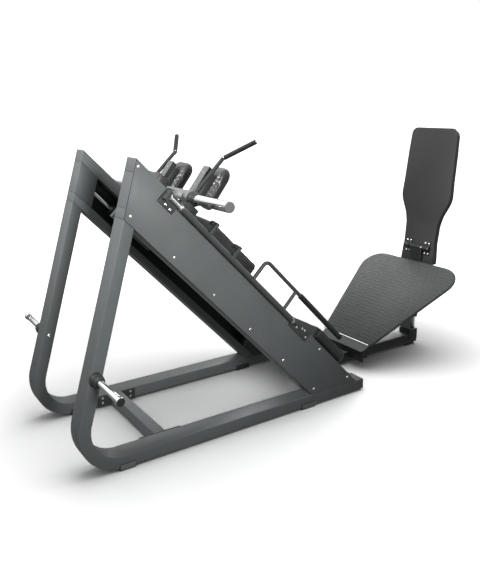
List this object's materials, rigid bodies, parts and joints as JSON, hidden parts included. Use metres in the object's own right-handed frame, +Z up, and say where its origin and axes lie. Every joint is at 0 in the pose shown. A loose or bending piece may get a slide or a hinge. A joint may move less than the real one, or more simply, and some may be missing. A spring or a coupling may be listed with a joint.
{
  "type": "leg press machine",
  "caption": "Incline leg press and hack squat machine: sled with shoulder pads and weight horns on inclined rails, angled foot plate and tall fold-down back pad.",
  "frame": {"origin": "centre of the bounding box's footprint, on the floor under the rubber feet", "axes": "+X from the rear uprights along the machine to the foot plate, +Y to the machine's left, +Z up"},
  "size_m": [2.6951, 1.2696, 1.4639],
  "materials": {
    "frame_paint": "satin dark slate powder coat",
    "dark_paint": "satin near-black powder coat",
    "light_paint": "satin mid-grey powder coat",
    "chrome": "polished chrome plate",
    "rubber": "matt black rubber",
    "vinyl": "matt black upholstery vinyl over foam",
    "tread": "matt dark grey textured tread"
  },
  "bodies": {
    "frame": {"side_frame_l": "frame_paint", "rail_top_l": "frame_paint", "rail_bottom_l": "frame_paint", "rail_head_l": "frame_paint", "rail_foot_l": "dark_paint", "side_panel_l": "frame_paint", "guide_rod_l": "chrome", "foot_rear_l": "rubber", "foot_front_l": "rubber", "storage_horn_l": "chrome", "latch_bracket_upper_l": "dark_paint", "latch_bracket_lower_l": "dark_paint", "side_frame_r": "frame_paint", "rail_top_r": "frame_paint", "rail_bottom_r": "frame_paint", "rail_head_r": "frame_paint", "rail_foot_r": "dark_paint", "side_panel_r": "frame_paint", "guide_rod_r": "chrome", "foot_rear_r": "rubber", "foot_front_r": "rubber", "storage_horn_r": "chrome", "latch_bracket_upper_r": "dark_paint", "latch_bracket_lower_r": "dark_paint", "cross_tube_rear": "frame_paint", "cross_tube_front": "frame_paint", "base_beam": "frame_paint", "foot_beam_mid": "rubber", "foot_beam_end": "rubber", "seat_frame": "dark_paint", "seat_pad": "vinyl", "foot_plate": "light_paint", "tread_mat": "tread", "plate_spine": "dark_paint", "prop_rods": "chrome", "prop_post": "dark_paint", "pad_arm": "dark_paint"},
    "sled": {"sled_frame": "frame_paint", "sled_back_pad": "vinyl", "head_pad": "vinyl", "bearing_housing_l": "dark_paint", "load_collar_l": "dark_paint", "load_horn_l": "chrome", "shoulder_pad_l": "vinyl", "handle_tube_l": "dark_paint", "handle_grip_l": "rubber", "bearing_housing_r": "dark_paint", "load_collar_r": "dark_paint", "load_horn_r": "chrome", "shoulder_pad_r": "vinyl", "handle_tube_r": "dark_paint", "handle_grip_r": "rubber"},
    "safety_bar_l": {"safety_bar_l": "dark_paint", "lever_grip_l": "rubber"},
    "safety_bar_r": {"safety_bar_r": "dark_paint", "lever_grip_r": "rubber"},
    "back_pad": {"pad_board": "vinyl", "pad_cushion": "vinyl", "pad_strap_l": "dark_paint", "pad_strap_r": "dark_paint"}
  },
  "joints": [
    {"name": "sled_slide", "type": "slide", "parent": "frame", "child": "sled", "axis": [0.7071, 0, -0.7071], "range_m": [0, 0.42]},
    {"name": "safety_bar_turn_l", "type": "hinge", "parent": "frame", "child": "safety_bar_l", "pos_m": [-0.57174, 0.39, 0.87455], "axis": [-0.7071, 0, 0.7071], "range_deg": [0, 75]},
    {"name": "safety_bar_turn_r", "type": "hinge", "parent": "frame", "child": "safety_bar_r", "pos_m": [-0.57174, -0.39, 0.87455], "axis": [0.7071, 0, -0.7071], "range_deg": [0, 75]},
    {"name": "back_pad_fold", "type": "hinge", "parent": "frame", "child": "back_pad", "pos_m": [1.15706, 0, 0.6686], "axis": [0, -1, 0], "range_deg": [0, 125]}
  ]
}
